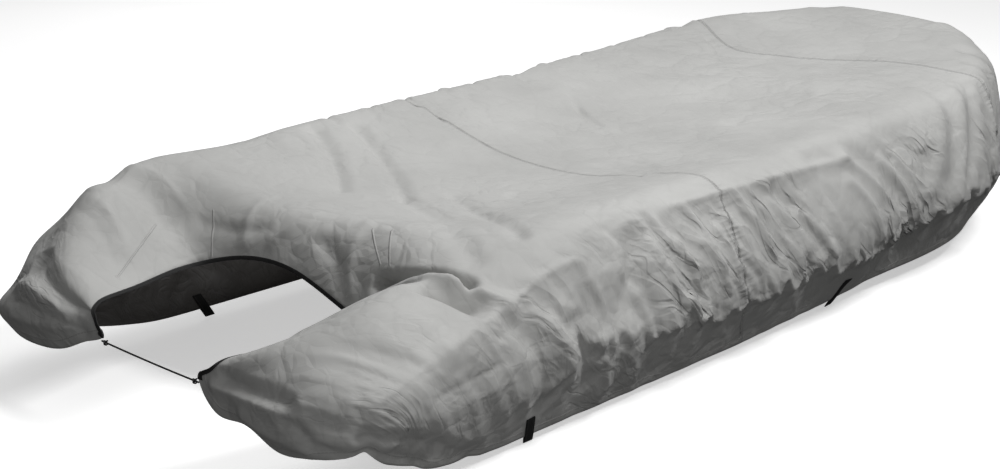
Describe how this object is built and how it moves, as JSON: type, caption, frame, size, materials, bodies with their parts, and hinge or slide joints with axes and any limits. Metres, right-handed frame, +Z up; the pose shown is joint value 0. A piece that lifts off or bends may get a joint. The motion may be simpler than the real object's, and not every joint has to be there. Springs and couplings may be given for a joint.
{
  "type": "boat cover",
  "caption": "Fitted cover for a small inflatable dinghy, with a bound motor cut-out and elastic cord between stern sleeves and loops along the hem.",
  "frame": {"origin": "middle of the underside of the whole cover, level with the lowest tie-down loop", "axes": "+X starboard, +Y towards the bow, +Z up"},
  "size_m": [1.5512, 3.621, 0.6584],
  "materials": {
    "coated_polyester": "silver grey coated polyester, dull sheen",
    "black_tape": "black bias binding tape",
    "black_cord": "black braided cover on an elastic core",
    "black_webbing": "black woven webbing"
  },
  "bodies": {
    "root": {"panel_stern": "coated_polyester", "panel_middle": "coated_polyester", "panel_bow": "coated_polyester", "cutout_binding": "black_tape", "cord_tab_port": "black_tape", "cord_tab_starboard": "black_tape", "stern_cord": "black_cord", "strap_loop_port_aft": "black_webbing", "strap_loop_port_fore": "black_webbing", "strap_loop_starboard_aft": "black_webbing", "strap_loop_starboard_fore": "black_webbing"}
  },
  "joints": []
}
